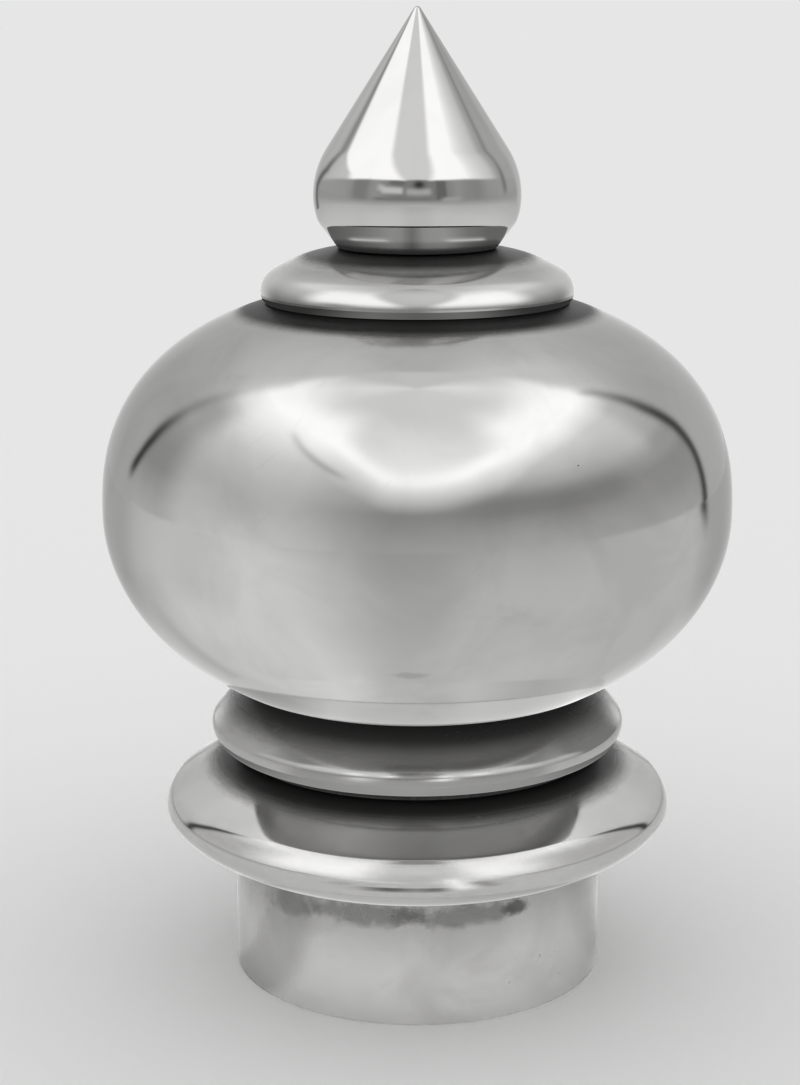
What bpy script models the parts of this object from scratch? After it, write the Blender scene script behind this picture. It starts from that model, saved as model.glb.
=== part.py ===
"""Polished stainless-steel fence post finial: turned pieces stacked on one upright axis.

The pieces stand on the collar, which slips over the top of a round post. Every piece is
turned from an outline of (radius, height) points that runs from its top to its bottom.
Units are metres, +Z is up, and the origin is the centre of the collar's open lower end.
"""

import math

import bmesh
import bpy

MM = 0.001

TURN_STEPS = 52
MERGE_DISTANCE = 0.001 * MM
SHARP_ANGLE = math.radians(30.0)

TOUCH_GAP = 0.3 * MM
SHEET = 1.2 * MM

COLLAR_RADIUS = 39.5 * MM
COLLAR_HEIGHT = 31.0 * MM
COLLAR_EDGE = 0.2 * MM

FLANGE_RADIUS = 54.2 * MM
FLANGE_RIM_HEIGHT = 35.8 * MM
FLANGE_RIM_ROUND = 6.2 * MM
FLANGE_RIM_POINTS = 4
FLANGE_SLOPE = math.radians(33.3)
FLANGE_CROWN_SLOPE = math.radians(26.0)
FLANGE_SLOPE_POINTS = 3
FLANGE_FOOT_HEIGHT = 26.9 * MM
FLANGE_FULLNESS = 1.5
FLANGE_LOWER_POINTS = 7
FLANGE_CROWN_RADIUS = 39.3 * MM

BEAD_RADIUS = 44.1 * MM
BEAD_RIM_HEIGHT = 54.0 * MM
BEAD_UPPER_ROUND = 2.6 * MM
BEAD_LOWER_ROUND = 4.4 * MM
BEAD_RIM_POINTS = 4
BEAD_NECK_RADIUS = 38.5 * MM
BEAD_UPPER_SLOPE = math.radians(50.0)
BEAD_CROWN_SLOPE = math.radians(41.0)
BEAD_SLOPE_POINTS = 4

BALL_RADIUS = 66.0 * MM
BALL_WAIST_HEIGHT = 100.8 * MM
BALL_LOWER_DEPTH = 45.6 * MM
BALL_LOWER_FULLNESS = 2.03
BALL_LOWER_TURN = math.radians(52.5)
BALL_LOWER_POINTS = 9
BALL_FOOT_ROUND = 9.0 * MM
BALL_FOOT_POINTS = 5
BALL_UPPER_DEPTH = 46.4 * MM
BALL_UPPER_FULLNESS = 2.38
BALL_UPPER_POINTS = 12

SAUCER_RADIUS = 32.5 * MM
SAUCER_RIM_HEIGHT = 145.9 * MM
SAUCER_RIM_ROUND = 5.2 * MM
SAUCER_RIM_POINTS = 5
SAUCER_SLOPE = math.radians(28.4)
SAUCER_CROWN_SLOPE = math.radians(2.6)
SAUCER_SLOPE_POINTS = 4
SAUCER_UNDER_ROUND = 2.65 * MM
SAUCER_UNDER_POINTS = 9
SAUCER_SEAT_POINTS = 5
SAUCER_CROWN_RADIUS = 15.5 * MM

SPIKE_RADIUS = 21.4 * MM
SPIKE_WAIST_HEIGHT = 165.4 * MM
SPIKE_BELLY_ROUND = 15.0 * MM
SPIKE_BELLY_TURN = math.radians(17.0)
SPIKE_BELLY_POINTS = 3
SPIKE_HEEL_ROUND = 5.0 * MM
SPIKE_FOOT_TURN = math.radians(38.0)
SPIKE_HEEL_POINTS = 4
SPIKE_SHOULDER_ROUND = 17.9 * MM
SPIKE_SHOULDER_POINTS = 5
SPIKE_SLOPE = math.radians(57.2)
SPIKE_TIP_ROUND = 0.8 * MM
SPIKE_TIP_POINTS = 3

POLISHED_COLOR = (0.66, 0.655, 0.645, 1.0)
SATIN_COLOR = (0.58, 0.575, 0.57, 1.0)
TUBE_ROUGHNESS = 0.30
BALL_ROUGHNESS = 0.12
RING_ROUGHNESS = 0.10
SPIKE_ROUGHNESS = 0.08


def steps_between(start, end, count):
    """Evenly spaced numbers from start to end, both included."""
    return [start + (end - start) * i / (count - 1) for i in range(count)]


def swell(radius, height, end_radius, end_height, fullness, count):
    """Quarter of a superellipse, from the widest point to a level end."""
    points = []
    for angle in steps_between(0.0, math.pi / 2, count):
        across = math.cos(angle) ** (2 / fullness) if angle < math.pi / 2 else 0.0
        along = math.sin(angle) ** (2 / fullness)
        points.append(
            (end_radius + (radius - end_radius) * across, height + (end_height - height) * along)
        )
    return points


def rim_arc(radius, height, rounding, slope, side, count):
    """Arc from the widest point to where the surface has the given slope. side is 1 above, -1 below."""
    return [
        (radius - rounding + rounding * math.cos(turn), height + side * rounding * math.sin(turn))
        for turn in steps_between(0.0, math.pi / 2 - slope, count)
    ]


def flank(start, end_radius, slope, end_slope, side, count):
    """Goes on inward from start, while the slope changes evenly from slope to end_slope."""
    radius, height = start
    points = []
    for part in steps_between(0.0, 1.0, count)[1:]:
        here = math.tan(slope) * (1 - part) + math.tan(end_slope) * part
        mean = (math.tan(slope) + here) / 2
        run = (radius - end_radius) * part
        points.append((radius - run, height + side * run * mean))
    return points


def offset_inward(points, distance):
    """The same run of points moved square to the run, to the side of the axis."""
    moved = []
    for i, (radius, height) in enumerate(points):
        before = points[max(i - 1, 0)]
        after = points[min(i + 1, len(points) - 1)]
        run, rise = after[0] - before[0], after[1] - before[1]
        length = math.hypot(run, rise)
        moved.append((radius + distance * rise / length, height - distance * run / length))
    return moved


def ball_lower_side():
    """Ball from its waist down to the turned-in foot, whose end is level."""
    points = []
    for angle in steps_between(0.0, BALL_LOWER_TURN, BALL_LOWER_POINTS):
        across = math.cos(angle) ** (2 / BALL_LOWER_FULLNESS)
        along = math.sin(angle) ** (2 / BALL_LOWER_FULLNESS)
        points.append((BALL_RADIUS * across, BALL_WAIST_HEIGHT - BALL_LOWER_DEPTH * along))
    run = (BALL_RADIUS * math.sin(BALL_LOWER_TURN)) * math.cos(BALL_LOWER_TURN) ** (
        2 / BALL_LOWER_FULLNESS - 1
    )
    fall = (BALL_LOWER_DEPTH * math.cos(BALL_LOWER_TURN)) * math.sin(BALL_LOWER_TURN) ** (
        2 / BALL_LOWER_FULLNESS - 1
    )
    slope = math.atan2(fall, run)
    end_radius, end_height = points[-1]
    centre_radius = end_radius - BALL_FOOT_ROUND * math.sin(slope)
    centre_height = end_height + BALL_FOOT_ROUND * math.cos(slope)
    for turn in steps_between(slope, 0.0, BALL_FOOT_POINTS)[1:]:
        points.append(
            (
                centre_radius + BALL_FOOT_ROUND * math.sin(turn),
                centre_height - BALL_FOOT_ROUND * math.cos(turn),
            )
        )
    return points


def ball_top_height(radius):
    """Height of the ball's upper surface at this radius."""
    share = (1 - (radius / BALL_RADIUS) ** BALL_UPPER_FULLNESS) ** (1 / BALL_UPPER_FULLNESS)
    return BALL_WAIST_HEIGHT + BALL_UPPER_DEPTH * share


def saucer_upper_side():
    """Saucer from its rim up to the seat of the spike."""
    rim = rim_arc(
        SAUCER_RADIUS, SAUCER_RIM_HEIGHT, SAUCER_RIM_ROUND, SAUCER_SLOPE, 1, SAUCER_RIM_POINTS
    )
    return rim + flank(
        rim[-1], SAUCER_CROWN_RADIUS, SAUCER_SLOPE, SAUCER_CROWN_SLOPE, 1, SAUCER_SLOPE_POINTS
    )


def flange_upper_side():
    """Flange from its rim up to the edge of its level crown."""
    rim = rim_arc(
        FLANGE_RADIUS, FLANGE_RIM_HEIGHT, FLANGE_RIM_ROUND, FLANGE_SLOPE, 1, FLANGE_RIM_POINTS
    )
    return rim + flank(
        rim[-1], FLANGE_CROWN_RADIUS, FLANGE_SLOPE, FLANGE_CROWN_SLOPE, 1, FLANGE_SLOPE_POINTS
    )


def bead_lower_side():
    """Bead ring from its rim round to a level underside, then down its neck to the flange."""
    rim = rim_arc(BEAD_RADIUS, BEAD_RIM_HEIGHT, BEAD_LOWER_ROUND, 0.0, -1, BEAD_RIM_POINTS)
    seat_height = flange_upper_side()[-1][1] + TOUCH_GAP
    return rim + [(BEAD_NECK_RADIUS, rim[-1][1]), (BEAD_NECK_RADIUS, seat_height)]


def spike_lower_side(seat_height):
    """Spike from its waist round its belly and its heel, then straight in to its seat."""
    belly_centre = SPIKE_RADIUS - SPIKE_BELLY_ROUND
    points = [
        (
            belly_centre + SPIKE_BELLY_ROUND * math.cos(turn),
            SPIKE_WAIST_HEIGHT - SPIKE_BELLY_ROUND * math.sin(turn),
        )
        for turn in steps_between(0.0, SPIKE_BELLY_TURN, SPIKE_BELLY_POINTS)
    ]
    radius, height = points[-1]
    centre_radius = radius - SPIKE_HEEL_ROUND * math.cos(SPIKE_BELLY_TURN)
    centre_height = height + SPIKE_HEEL_ROUND * math.sin(SPIKE_BELLY_TURN)
    for turn in steps_between(SPIKE_BELLY_TURN, SPIKE_FOOT_TURN, SPIKE_HEEL_POINTS)[1:]:
        points.append(
            (
                centre_radius + SPIKE_HEEL_ROUND * math.cos(turn),
                centre_height - SPIKE_HEEL_ROUND * math.sin(turn),
            )
        )
    radius, height = points[-1]
    seat_radius = radius - (height - seat_height) * math.tan(SPIKE_FOOT_TURN)
    return points + [(seat_radius, seat_height)]


def collar_outline():
    """Open tube. Both of its ends have their edges broken."""
    inner = COLLAR_RADIUS - SHEET
    return [
        (inner + COLLAR_EDGE, COLLAR_HEIGHT),
        (COLLAR_RADIUS - COLLAR_EDGE, COLLAR_HEIGHT),
        (COLLAR_RADIUS, COLLAR_HEIGHT - COLLAR_EDGE),
        (COLLAR_RADIUS, COLLAR_EDGE),
        (COLLAR_RADIUS - COLLAR_EDGE, 0.0),
        (inner + COLLAR_EDGE, 0.0),
        (inner, COLLAR_EDGE),
        (inner, COLLAR_HEIGHT - COLLAR_EDGE),
    ]


def flange_outline():
    """Pressed sheet dome, open below, whose lip closes round the collar."""
    lip_radius = COLLAR_RADIUS + TOUCH_GAP
    upper = flange_upper_side()
    lower = swell(
        FLANGE_RADIUS,
        FLANGE_RIM_HEIGHT,
        lip_radius,
        FLANGE_FOOT_HEIGHT,
        FLANGE_FULLNESS,
        FLANGE_LOWER_POINTS,
    )
    outer = upper[::-1] + lower[1:]
    inner = offset_inward(outer[1:-1], SHEET)
    crown_height = outer[0][1]
    under_crown = crown_height - SHEET
    shoulder = outer[0][0] - SHEET * math.tan(FLANGE_CROWN_SLOPE / 2)
    lip_top = (lip_radius, FLANGE_FOOT_HEIGHT + SHEET)
    return (
        [(0.0, crown_height)]
        + outer
        + [lip_top]
        + inner[::-1]
        + [(shoulder, under_crown), (0.0, under_crown)]
    )


def bead_outline():
    """Closed ring with a sloping upper side, on which the ball's foot rests."""
    lower = bead_lower_side()
    foot_radius, foot_height = ball_lower_side()[-1]
    rim = rim_arc(
        BEAD_RADIUS, BEAD_RIM_HEIGHT, BEAD_UPPER_ROUND, BEAD_UPPER_SLOPE, 1, BEAD_RIM_POINTS
    )
    upper = rim + flank(
        rim[-1], foot_radius, BEAD_UPPER_SLOPE, BEAD_CROWN_SLOPE, 1, BEAD_SLOPE_POINTS
    )
    top_height = foot_height - TOUCH_GAP
    upper[-1] = (foot_radius, top_height)
    return [(0.0, top_height)] + upper[::-1] + lower[1:] + [(0.0, lower[-1][1])]


def ball_outline():
    """Flattened ball, a little fuller above its waist."""
    upper = swell(
        BALL_RADIUS,
        BALL_WAIST_HEIGHT,
        0.0,
        BALL_WAIST_HEIGHT + BALL_UPPER_DEPTH,
        BALL_UPPER_FULLNESS,
        BALL_UPPER_POINTS,
    )
    lower = ball_lower_side()
    return upper[::-1] + lower[1:] + [(0.0, lower[-1][1])]


def saucer_outline():
    """Domed saucer. Its rim turns under, and its underside follows the top of the ball."""
    upper = saucer_upper_side()
    under = []
    for radius, height in rim_arc(
        SAUCER_RADIUS, SAUCER_RIM_HEIGHT, SAUCER_UNDER_ROUND, 0.0, -1, SAUCER_UNDER_POINTS
    )[1:]:
        if height < ball_top_height(radius) + TOUCH_GAP:
            break
        under.append((radius, height))
    seat_radius = under[-1][0]
    for radius in steps_between(seat_radius, 0.0, SAUCER_SEAT_POINTS)[1:]:
        under.append((radius, ball_top_height(radius) + TOUCH_GAP))
    return [(0.0, upper[-1][1])] + upper[::-1] + under


def spike_outline():
    """Cone with a round shoulder, a tucked-in belly below it and a blunted tip."""
    seat_height = saucer_upper_side()[-1][1] + TOUCH_GAP
    shoulder = rim_arc(
        SPIKE_RADIUS,
        SPIKE_WAIST_HEIGHT,
        SPIKE_SHOULDER_ROUND,
        SPIKE_SLOPE,
        1,
        SPIKE_SHOULDER_POINTS,
    )
    cone_radius, cone_height = shoulder[-1]
    apex_height = cone_height + cone_radius * math.tan(SPIKE_SLOPE)
    tip_centre = apex_height - SPIKE_TIP_ROUND / math.cos(SPIKE_SLOPE)
    tip = [
        (SPIKE_TIP_ROUND * math.sin(turn), tip_centre + SPIKE_TIP_ROUND * math.cos(turn))
        for turn in steps_between(0.0, SPIKE_SLOPE, SPIKE_TIP_POINTS)
    ]
    lower = spike_lower_side(seat_height)
    return tip + shoulder[::-1] + lower[1:] + [(0.0, seat_height)]


def make_metal(name, color, roughness):
    """Principled material of bare stainless steel."""
    material = bpy.data.materials.new(name)
    material.use_nodes = True
    shader = material.node_tree.nodes["Principled BSDF"]
    shader.inputs["Base Color"].default_value = color
    shader.inputs["Metallic"].default_value = 1.0
    shader.inputs["Roughness"].default_value = roughness
    material.diffuse_color = color
    return material


def turn_piece(name, outline, material):
    """Turns the outline once round the upright axis into one closed object."""
    mesh_data = bmesh.new()
    ring = [mesh_data.verts.new((radius, 0.0, height)) for radius, height in outline]
    edges = [mesh_data.edges.new(pair) for pair in zip(ring, ring[1:])]
    on_axis = outline[0][0] == 0.0
    if not on_axis:
        edges.append(mesh_data.edges.new((ring[-1], ring[0])))
    bmesh.ops.spin(
        mesh_data,
        geom=ring + edges,
        cent=(0.0, 0.0, 0.0),
        axis=(0.0, 0.0, 1.0),
        angle=2 * math.pi,
        steps=TURN_STEPS,
        use_merge=True,
    )
    bmesh.ops.remove_doubles(mesh_data, verts=mesh_data.verts, dist=MERGE_DISTANCE)
    bmesh.ops.recalc_face_normals(mesh_data, faces=mesh_data.faces)
    mesh = bpy.data.meshes.new(name)
    mesh_data.to_mesh(mesh)
    mesh_data.free()
    mesh.shade_smooth()
    mesh.set_sharp_from_angle(angle=SHARP_ANGLE)
    mesh.materials.append(material)
    piece = bpy.data.objects.new(name, mesh)
    bpy.context.scene.collection.objects.link(piece)
    return piece


def clear_scene():
    for thing in list(bpy.data.objects):
        bpy.data.objects.remove(thing, do_unlink=True)


def main():
    clear_scene()
    tube_metal = make_metal("collar_steel", SATIN_COLOR, TUBE_ROUGHNESS)
    flange_metal = make_metal("flange_steel", POLISHED_COLOR, RING_ROUGHNESS)
    bead_metal = make_metal("bead_steel", POLISHED_COLOR, RING_ROUGHNESS)
    ball_metal = make_metal("ball_steel", POLISHED_COLOR, BALL_ROUGHNESS)
    saucer_metal = make_metal("saucer_steel", POLISHED_COLOR, RING_ROUGHNESS)
    spike_metal = make_metal("spike_steel", POLISHED_COLOR, SPIKE_ROUGHNESS)
    turn_piece("collar", collar_outline(), tube_metal)
    turn_piece("base_flange", flange_outline(), flange_metal)
    turn_piece("bead_ring", bead_outline(), bead_metal)
    turn_piece("ball", ball_outline(), ball_metal)
    turn_piece("saucer", saucer_outline(), saucer_metal)
    turn_piece("spike", spike_outline(), spike_metal)


main()
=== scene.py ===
"""Looks of the polished stainless-steel fence post finial.

Six finely turned pieces stand for the six plain solids of the frame. Each has its own steel,
mixed from the same few workshop marks: turning lines, buffing clouds, hairlines, wipe marks
and specks. Where two pieces meet, the steel is painted black, partly for polishing compound and
partly as painted shade. A few dark patches on the camera's side are painted shade and painted
dark reflections. The finial stands on a pale floor under soft light. Cloth tents round it and
cloths below it fill the steel's reflections, and narrow glowing strips between the pieces are
painted reflections of the neighbouring pieces.
Units are metres and +Z is up. Every outline is a run of (radius, height) points.
"""

import math
from collections import namedtuple

import bpy
import numpy as np
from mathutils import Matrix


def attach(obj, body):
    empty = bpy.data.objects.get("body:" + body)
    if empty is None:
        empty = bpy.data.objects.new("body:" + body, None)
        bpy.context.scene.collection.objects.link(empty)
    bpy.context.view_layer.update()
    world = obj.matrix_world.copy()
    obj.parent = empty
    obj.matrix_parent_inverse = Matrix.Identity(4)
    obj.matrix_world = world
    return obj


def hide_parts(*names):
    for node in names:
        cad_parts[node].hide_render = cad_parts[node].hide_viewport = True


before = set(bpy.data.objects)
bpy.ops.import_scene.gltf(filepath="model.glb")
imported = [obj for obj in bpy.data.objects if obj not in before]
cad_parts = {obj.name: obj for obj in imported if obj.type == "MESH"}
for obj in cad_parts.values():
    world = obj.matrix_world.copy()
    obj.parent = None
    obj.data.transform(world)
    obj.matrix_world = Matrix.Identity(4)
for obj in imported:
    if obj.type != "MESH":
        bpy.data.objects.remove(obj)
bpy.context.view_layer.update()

MM = 0.001

TURN_STEPS = 288
SHARP_EDGE = math.radians(30.0)
TOUCH_GAP = 0.3 * MM
SHEET = 1.2 * MM

COLLAR_RADIUS = 39.5 * MM
COLLAR_HEIGHT = 31.0 * MM
COLLAR_EDGE = 0.2 * MM

FLANGE_RADIUS = 54.2 * MM
FLANGE_RIM_HEIGHT = 35.8 * MM
FLANGE_RIM_ROUND = 6.2 * MM
FLANGE_SLOPE = math.radians(33.3)
FLANGE_CROWN_SLOPE = math.radians(26.0)
FLANGE_FOOT_HEIGHT = 26.9 * MM
FLANGE_FULLNESS = 1.5
FLANGE_CROWN_RADIUS = 39.3 * MM

BEAD_RADIUS = 44.1 * MM
BEAD_RIM_HEIGHT = 54.0 * MM
BEAD_UPPER_ROUND = 2.6 * MM
BEAD_LOWER_ROUND = 4.4 * MM
BEAD_NECK_RADIUS = 38.5 * MM
BEAD_UPPER_SLOPE = math.radians(50.0)
BEAD_CROWN_SLOPE = math.radians(41.0)

BALL_RADIUS = 66.0 * MM
BALL_WAIST_HEIGHT = 100.8 * MM
BALL_LOWER_DEPTH = 45.6 * MM
BALL_LOWER_FULLNESS = 2.03
BALL_LOWER_TURN = math.radians(52.5)
BALL_FOOT_ROUND = 9.0 * MM
BALL_UPPER_DEPTH = 46.4 * MM
BALL_UPPER_FULLNESS = 2.38

SAUCER_RADIUS = 32.5 * MM
SAUCER_RIM_HEIGHT = 145.9 * MM
SAUCER_RIM_ROUND = 5.2 * MM
SAUCER_SLOPE = math.radians(28.4)
SAUCER_CROWN_SLOPE = math.radians(2.6)
SAUCER_UNDER_ROUND = 2.65 * MM
SAUCER_CROWN_RADIUS = 15.5 * MM

SPIKE_RADIUS = 21.4 * MM
SPIKE_WAIST_HEIGHT = 165.4 * MM
SPIKE_BELLY_ROUND = 15.0 * MM
SPIKE_BELLY_TURN = math.radians(17.0)
SPIKE_HEEL_ROUND = 5.0 * MM
SPIKE_FOOT_TURN = math.radians(38.0)
SPIKE_SHOULDER_ROUND = 17.9 * MM
SPIKE_SLOPE = math.radians(57.2)
SPIKE_TIP_ROUND = 0.8 * MM


# Outlines


def steps_between(start, end, count):
    """Evenly spaced numbers from start to end, both included."""
    return [start + (end - start) * i / (count - 1) for i in range(count)]


def swell(radius, height, end_radius, end_height, fullness, count):
    """Quarter of a superellipse, from the widest point to a level end."""
    points = []
    for angle in steps_between(0.0, math.pi / 2, count):
        across = max(math.cos(angle), 0.0) ** (2 / fullness)
        up = math.sin(angle) ** (2 / fullness)
        points.append((end_radius + (radius - end_radius) * across, height + (end_height - height) * up))
    points[-1] = (end_radius, end_height)
    return points


def arc(centre, rounding, start, end, count):
    """Part of a circle. Its turn is 0 on the outer side and a quarter turn at the top."""
    return [
        (centre[0] + rounding * math.cos(turn), centre[1] + rounding * math.sin(turn))
        for turn in steps_between(start, end, count)
    ]


def rim_arc(radius, height, rounding, slope, side, count):
    """Arc from the widest point to where the surface has the given slope. side is 1 above, -1 below."""
    return arc((radius - rounding, height), rounding, 0.0, side * (math.pi / 2 - slope), count)


def flank(start, end_radius, slope, end_slope, count):
    """Goes on inward and up from start, while the slope changes evenly from slope to end_slope."""
    radius, height = start
    points = []
    for part in steps_between(0.0, 1.0, count)[1:]:
        here = math.tan(slope) * (1 - part) + math.tan(end_slope) * part
        mean = (math.tan(slope) + here) / 2
        run = (radius - end_radius) * part
        points.append((radius - run, height + run * mean))
    return points


def straight(start, end, count):
    """Points on a straight run, without its start."""
    return [
        (start[0] + (end[0] - start[0]) * part, start[1] + (end[1] - start[1]) * part)
        for part in steps_between(0.0, 1.0, count)[1:]
    ]


def offset_inward(points, distance):
    """The same run of points moved square to the run, to the side of the axis."""
    moved = []
    for i, (radius, height) in enumerate(points):
        before = points[max(i - 1, 0)]
        after = points[min(i + 1, len(points) - 1)]
        run, rise = after[0] - before[0], after[1] - before[1]
        length = math.hypot(run, rise)
        moved.append((radius + distance * rise / length, height - distance * run / length))
    return moved


def ball_lower_side():
    """Ball from its waist down to the turned-in foot, whose end is level."""
    power = 2 / BALL_LOWER_FULLNESS
    points = [
        (
            BALL_RADIUS * math.cos(angle) ** power,
            BALL_WAIST_HEIGHT - BALL_LOWER_DEPTH * math.sin(angle) ** power,
        )
        for angle in steps_between(0.0, BALL_LOWER_TURN, 64)
    ]
    run = BALL_RADIUS * math.sin(BALL_LOWER_TURN) * math.cos(BALL_LOWER_TURN) ** (power - 1)
    fall = BALL_LOWER_DEPTH * math.cos(BALL_LOWER_TURN) * math.sin(BALL_LOWER_TURN) ** (power - 1)
    slope = math.atan2(fall, run)
    end_radius, end_height = points[-1]
    centre = (
        end_radius - BALL_FOOT_ROUND * math.sin(slope),
        end_height + BALL_FOOT_ROUND * math.cos(slope),
    )
    straight_down = -math.pi / 2
    return points + arc(centre, BALL_FOOT_ROUND, straight_down + slope, straight_down, 24)[1:]


def ball_top_height(radius):
    """Height of the ball's upper surface at this radius."""
    share = (1 - (radius / BALL_RADIUS) ** BALL_UPPER_FULLNESS) ** (1 / BALL_UPPER_FULLNESS)
    return BALL_WAIST_HEIGHT + BALL_UPPER_DEPTH * share


def saucer_upper_side():
    """Saucer from its rim up to the seat of the spike."""
    rim = rim_arc(SAUCER_RADIUS, SAUCER_RIM_HEIGHT, SAUCER_RIM_ROUND, SAUCER_SLOPE, 1, 24)
    return rim + flank(rim[-1], SAUCER_CROWN_RADIUS, SAUCER_SLOPE, SAUCER_CROWN_SLOPE, 32)


def flange_upper_side():
    """Flange from its rim up to the edge of its level crown."""
    rim = rim_arc(FLANGE_RADIUS, FLANGE_RIM_HEIGHT, FLANGE_RIM_ROUND, FLANGE_SLOPE, 1, 24)
    return rim + flank(rim[-1], FLANGE_CROWN_RADIUS, FLANGE_SLOPE, FLANGE_CROWN_SLOPE, 20)


def bead_lower_side():
    """Bead ring from its rim round to a level underside, then down its neck to the flange."""
    rim = rim_arc(BEAD_RADIUS, BEAD_RIM_HEIGHT, BEAD_LOWER_ROUND, 0.0, -1, 20)
    neck_top = (BEAD_NECK_RADIUS, rim[-1][1])
    neck_foot = (BEAD_NECK_RADIUS, flange_upper_side()[-1][1] + TOUCH_GAP)
    return rim + straight(rim[-1], neck_top, 4) + straight(neck_top, neck_foot, 4)


def bead_upper_side(rim_count, flank_count):
    """Bead ring from its rim up to where the ball's foot rests."""
    rim = rim_arc(BEAD_RADIUS, BEAD_RIM_HEIGHT, BEAD_UPPER_ROUND, BEAD_UPPER_SLOPE, 1, rim_count)
    foot_radius = ball_lower_side()[-1][0]
    return rim + flank(rim[-1], foot_radius, BEAD_UPPER_SLOPE, BEAD_CROWN_SLOPE, flank_count)


def spike_lower_side(seat_height):
    """Spike from its waist round its belly and its heel, then straight in to its seat."""
    belly_centre = (SPIKE_RADIUS - SPIKE_BELLY_ROUND, SPIKE_WAIST_HEIGHT)
    points = arc(belly_centre, SPIKE_BELLY_ROUND, 0.0, -SPIKE_BELLY_TURN, 16)
    radius, height = points[-1]
    heel_centre = (
        radius - SPIKE_HEEL_ROUND * math.cos(SPIKE_BELLY_TURN),
        height + SPIKE_HEEL_ROUND * math.sin(SPIKE_BELLY_TURN),
    )
    points += arc(heel_centre, SPIKE_HEEL_ROUND, -SPIKE_BELLY_TURN, -SPIKE_FOOT_TURN, 14)[1:]
    radius, height = points[-1]
    seat_radius = radius - (height - seat_height) * math.tan(SPIKE_FOOT_TURN)
    return points + straight(points[-1], (seat_radius, seat_height), 8)


def collar_outline():
    """Open tube. Both of its ends have their edges broken."""
    inner, top = COLLAR_RADIUS - SHEET, COLLAR_HEIGHT - COLLAR_EDGE
    outer_edge, inner_edge = COLLAR_RADIUS - COLLAR_EDGE, inner + COLLAR_EDGE
    outer_top, inner_foot = (COLLAR_RADIUS, top), (inner, COLLAR_EDGE)
    return (
        [(inner_edge, COLLAR_HEIGHT), (outer_edge, COLLAR_HEIGHT), outer_top]
        + straight(outer_top, (COLLAR_RADIUS, COLLAR_EDGE), 32)
        + [(outer_edge, 0.0), (inner_edge, 0.0), inner_foot]
        + straight(inner_foot, (inner, top), 16)
    )


def flange_outline():
    """Pressed sheet dome, open below, whose lip closes round the collar."""
    lip_radius = COLLAR_RADIUS + TOUCH_GAP
    upper = flange_upper_side()
    lower = swell(FLANGE_RADIUS, FLANGE_RIM_HEIGHT, lip_radius, FLANGE_FOOT_HEIGHT, FLANGE_FULLNESS, 40)
    outer = upper[::-1] + lower[1:]
    inner = [point for point in offset_inward(outer[1:-1], SHEET) if point[0] > lip_radius]
    crown_height = outer[0][1]
    under_crown = crown_height - SHEET
    shoulder = (outer[0][0] - SHEET * math.tan(FLANGE_CROWN_SLOPE / 2), under_crown)
    return (
        [(0.0, crown_height)]
        + straight((0.0, crown_height), outer[0], 10)
        + outer[1:]
        + [(lip_radius, FLANGE_FOOT_HEIGHT + SHEET)]
        + inner[::-1]
        + [shoulder]
        + straight(shoulder, (0.0, under_crown), 8)
    )


def bead_outline():
    """Closed ring with a sloping upper side, on which the ball's foot rests."""
    upper, lower = bead_upper_side(18, 20), bead_lower_side()
    foot_radius, foot_height = ball_lower_side()[-1]
    top_height = foot_height - TOUCH_GAP
    upper[-1] = (foot_radius, top_height)
    return [(0.0, top_height)] + upper[::-1] + lower[1:] + [(0.0, lower[-1][1])]


def ball_outline():
    """Flattened ball, a little fuller above its waist."""
    top_height = BALL_WAIST_HEIGHT + BALL_UPPER_DEPTH
    upper = swell(BALL_RADIUS, BALL_WAIST_HEIGHT, 0.0, top_height, BALL_UPPER_FULLNESS, 96)
    lower = ball_lower_side()
    return upper[::-1] + lower[1:] + [(0.0, lower[-1][1])]


def saucer_outline():
    """Domed saucer. Its rim turns under, and its underside follows the top of the ball."""
    upper = saucer_upper_side()
    under = []
    for radius, height in rim_arc(SAUCER_RADIUS, SAUCER_RIM_HEIGHT, SAUCER_UNDER_ROUND, 0.0, -1, 48)[1:]:
        if height < ball_top_height(radius) + TOUCH_GAP:
            break
        under.append((radius, height))
    for radius in steps_between(under[-1][0], 0.0, 16)[1:]:
        under.append((radius, ball_top_height(radius) + TOUCH_GAP))
    return [(0.0, upper[-1][1])] + upper[::-1] + under


def spike_outline():
    """Cone with a round shoulder, a tucked-in belly below it and a blunted tip."""
    seat_height = saucer_upper_side()[-1][1] + TOUCH_GAP
    shoulder = rim_arc(SPIKE_RADIUS, SPIKE_WAIST_HEIGHT, SPIKE_SHOULDER_ROUND, SPIKE_SLOPE, 1, 36)
    cone_radius, cone_height = shoulder[-1]
    apex_height = cone_height + cone_radius * math.tan(SPIKE_SLOPE)
    tip_centre = (0.0, apex_height - SPIKE_TIP_ROUND / math.cos(SPIKE_SLOPE))
    tip = arc(tip_centre, SPIKE_TIP_ROUND, math.pi / 2, math.pi / 2 - SPIKE_SLOPE, 12)
    tip[0] = (0.0, tip[0][1])
    cone = straight(tip[-1], shoulder[-1], 40)
    lower = spike_lower_side(seat_height)
    return tip + cone + shoulder[::-1][1:] + lower[1:] + [(0.0, seat_height)]


def make_object(name, points, faces, material):
    mesh = bpy.data.meshes.new(name)
    mesh.from_pydata(points, [], faces)
    mesh.materials.append(material)
    made = bpy.data.objects.new(name, mesh)
    bpy.context.scene.collection.objects.link(made)
    return made


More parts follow.
